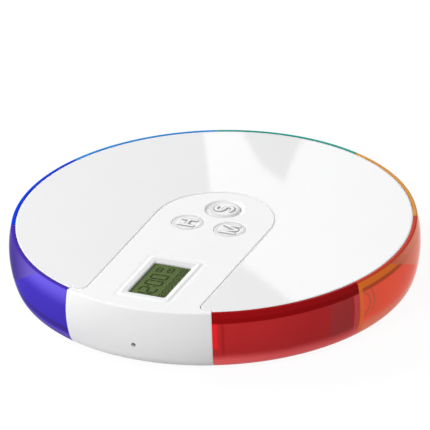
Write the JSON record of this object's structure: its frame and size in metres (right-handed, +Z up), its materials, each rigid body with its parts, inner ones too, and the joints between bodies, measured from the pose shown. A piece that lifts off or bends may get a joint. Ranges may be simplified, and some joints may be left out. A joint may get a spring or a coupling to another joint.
{
  "type": "pill dispenser",
  "caption": "Flat round pill dispenser with a white top, a clock panel with press buttons, and wedge drawers that slide out all round the rim.",
  "frame": {"origin": "centre of the plane that the rubber feet stand on, under the middle of the round body", "axes": "+Z up; -Y towards the middle of the white front with the display; +X to the right seen from the front"},
  "size_m": [0.136, 0.136, 0.0217],
  "materials": {
    "white_gloss": "glossy white moulded plastic",
    "white_shell": "fine satin white moulded plastic",
    "button_white": "satin white plastic with raised marks",
    "clear_lens": "clear polished window",
    "display": "green-grey reflective liquid crystal",
    "frame_plastic": "satin",
    "elastomer": "striped soft rubber",
    "circuit_board": "green solder mask",
    "black_plastic": "matte black",
    "ceramic_parts": "matte",
    "steel": "bright plated steel",
    "contact_brass": "plated spring strip",
    "wire": "insulated wire",
    "rubber_feet": "soft grey rubber",
    "red_tint": "glossy tinted translucent plastic",
    "orange_tint": "glossy tinted translucent plastic",
    "yellow_tint": "glossy tinted translucent plastic",
    "green_tint": "glossy tinted translucent plastic",
    "light_blue_tint": "glossy tinted translucent plastic",
    "blue_tint": "glossy tinted translucent plastic",
    "purple_tint": "glossy tinted translucent plastic"
  },
  "bodies": {
    "root": {"base_shell": "white_shell", "top_cover": "white_gloss", "front_housing": "white_gloss", "switch_bodies": "black_plastic", "display_lens": "clear_lens", "display_glass": "display", "display_frame": "frame_plastic", "contact_strips": "elastomer", "main_board": "circuit_board", "controller_chip": "black_plastic", "clock_crystal": "steel", "board_parts": "ceramic_parts", "buzzer": "black_plastic", "buzzer_wires": "wire", "coin_cell": "steel", "cell_top_contact": "contact_brass", "cell_side_contact": "contact_brass", "battery_wires": "wire", "cover_screws": "steel", "housing_screws": "steel", "board_screws": "steel", "rubber_feet": "rubber_feet"},
    "red_drawer": {"red_drawer": "red_tint"},
    "orange_drawer": {"orange_drawer": "orange_tint"},
    "yellow_drawer": {"yellow_drawer": "yellow_tint"},
    "green_drawer": {"green_drawer": "green_tint"},
    "light_blue_drawer": {"light_blue_drawer": "light_blue_tint"},
    "blue_drawer": {"blue_drawer": "blue_tint"},
    "purple_drawer": {"purple_drawer": "purple_tint"},
    "hour_button": {"hour_button": "button_white", "hour_switch_plunger": "black_plastic"},
    "set_button": {"set_button": "button_white", "set_switch_plunger": "black_plastic"},
    "minute_button": {"minute_button": "button_white", "minute_switch_plunger": "black_plastic"},
    "battery_door": {"battery_door": "white_shell"}
  },
  "joints": [
    {"name": "red_drawer_slide", "type": "slide", "parent": "root", "child": "red_drawer", "axis": [0.7071, -0.7071, 0], "range_m": [0, 0.028]},
    {"name": "orange_drawer_slide", "type": "slide", "parent": "root", "child": "orange_drawer", "axis": [1, 0, 0], "range_m": [0, 0.028]},
    {"name": "yellow_drawer_slide", "type": "slide", "parent": "root", "child": "yellow_drawer", "axis": [0.7071, 0.7071, 0], "range_m": [0, 0.028]},
    {"name": "green_drawer_slide", "type": "slide", "parent": "root", "child": "green_drawer", "axis": [0, 1, 0], "range_m": [0, 0.028]},
    {"name": "light_blue_drawer_slide", "type": "slide", "parent": "root", "child": "light_blue_drawer", "axis": [-0.7071, 0.7071, 0], "range_m": [0, 0.028]},
    {"name": "blue_drawer_slide", "type": "slide", "parent": "root", "child": "blue_drawer", "axis": [-1, 0, 0], "range_m": [0, 0.028]},
    {"name": "purple_drawer_slide", "type": "slide", "parent": "root", "child": "purple_drawer", "axis": [-0.7071, -0.7071, 0], "range_m": [0, 0.028]},
    {"name": "hour_button_press", "type": "slide", "parent": "root", "child": "hour_button", "axis": [0, 0, -1], "range_m": [0, 0.0005], "stiffness_N_per_m": 1500},
    {"name": "set_button_press", "type": "slide", "parent": "root", "child": "set_button", "axis": [0, 0, -1], "range_m": [0, 0.0005], "stiffness_N_per_m": 1500},
    {"name": "minute_button_press", "type": "slide", "parent": "root", "child": "minute_button", "axis": [0, 0, -1], "range_m": [0, 0.0005], "stiffness_N_per_m": 1500},
    {"name": "battery_door_turn", "type": "hinge", "parent": "root", "child": "battery_door", "pos_m": [0, 0, 0.0005], "axis": [0, 0, -1], "range_deg": [0, 45]}
  ]
}
